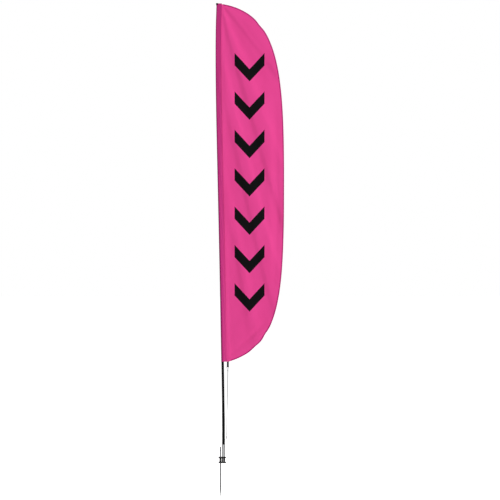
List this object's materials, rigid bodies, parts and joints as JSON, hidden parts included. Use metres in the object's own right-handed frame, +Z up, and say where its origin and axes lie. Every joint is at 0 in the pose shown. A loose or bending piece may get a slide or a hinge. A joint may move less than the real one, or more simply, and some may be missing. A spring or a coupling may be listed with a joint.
{
  "type": "feather flag with pole",
  "caption": "Tall curved feather flag on a black sectional pole that turns on a bearing spindle above a steel ground spike.",
  "frame": {"origin": "on the spindle's axis, at the underside of the bracket's bottom plate, which rests on the ground", "axes": "+Z up along the spindle, +X from the pole towards the sail's free edge"},
  "size_m": [0.5442, 0.043, 3.9255],
  "materials": {
    "spike_steel": "satin",
    "bracket_black": "satin",
    "hub_steel": "satin",
    "bearing_steel": "polished",
    "shaft_steel": "satin",
    "chrome": "polished",
    "rubber": "matte",
    "pole_black": "satin",
    "pole_fibreglass": "satin",
    "sail_pink": "matte",
    "webbing_black": "matte",
    "ring_plastic": "gloss",
    "cord_grey": "matte"
  },
  "bodies": {
    "ground_stake": {"ground_spike": "spike_steel", "bracket_bottom_plate": "bracket_black", "bracket_top_plate": "bracket_black", "spike_collar": "bracket_black", "spindle_hub": "hub_steel", "lower_bearing_outer_ring": "bearing_steel", "upper_bearing_outer_ring": "bearing_steel"},
    "rotor": {"spindle_shaft": "shaft_steel", "rotor_spindle": "chrome", "drive_pin": "shaft_steel", "lower_o_ring": "rubber", "upper_o_ring": "rubber", "lower_bearing_inner_ring": "bearing_steel", "upper_bearing_inner_ring": "bearing_steel", "bearing_spacer": "shaft_steel", "thrust_washer": "shaft_steel", "shaft_circlip": "shaft_steel"},
    "lower_balls": {"lower_bearing_balls": "bearing_steel"},
    "upper_balls": {"upper_bearing_balls": "bearing_steel"},
    "mast": {"pole_section_1": "pole_black", "pole_section_2": "pole_black", "pole_section_3": "pole_fibreglass", "pole_section_4": "pole_fibreglass", "pole_ferrule_1": "shaft_steel", "pole_ferrule_2": "shaft_steel", "pole_ferrule_3": "shaft_steel", "tip_plug": "rubber", "bungee_eye": "shaft_steel", "bungee_cord": "cord_grey", "upper_bungee_crimp": "rubber", "lower_bungee_crimp": "rubber", "corner_ring": "ring_plastic", "corner_tab": "webbing_black", "sail_panel": "sail_pink", "pole_sleeve": "sail_pink", "tip_patch": "webbing_black"}
  },
  "joints": [
    {"name": "flag_spin", "type": "hinge", "parent": "ground_stake", "child": "rotor", "pos_m": [0, 0, 0], "axis": [0, 0, 1], "continuous": true},
    {"name": "lower_ball_roll", "type": "hinge", "parent": "ground_stake", "child": "lower_balls", "pos_m": [0, 0, 0], "axis": [0, 0, 1], "continuous": true},
    {"name": "upper_ball_roll", "type": "hinge", "parent": "ground_stake", "child": "upper_balls", "pos_m": [0, 0, 0], "axis": [0, 0, 1], "continuous": true},
    {"name": "mast_lift", "type": "slide", "parent": "rotor", "child": "mast", "axis": [0, 0, 1], "range_m": [0, 0.115]}
  ],
  "couplings": [
    {"joint": "lower_ball_roll", "follows": "flag_spin", "ratio": 0.368},
    {"joint": "upper_ball_roll", "follows": "flag_spin", "ratio": 0.368}
  ]
}
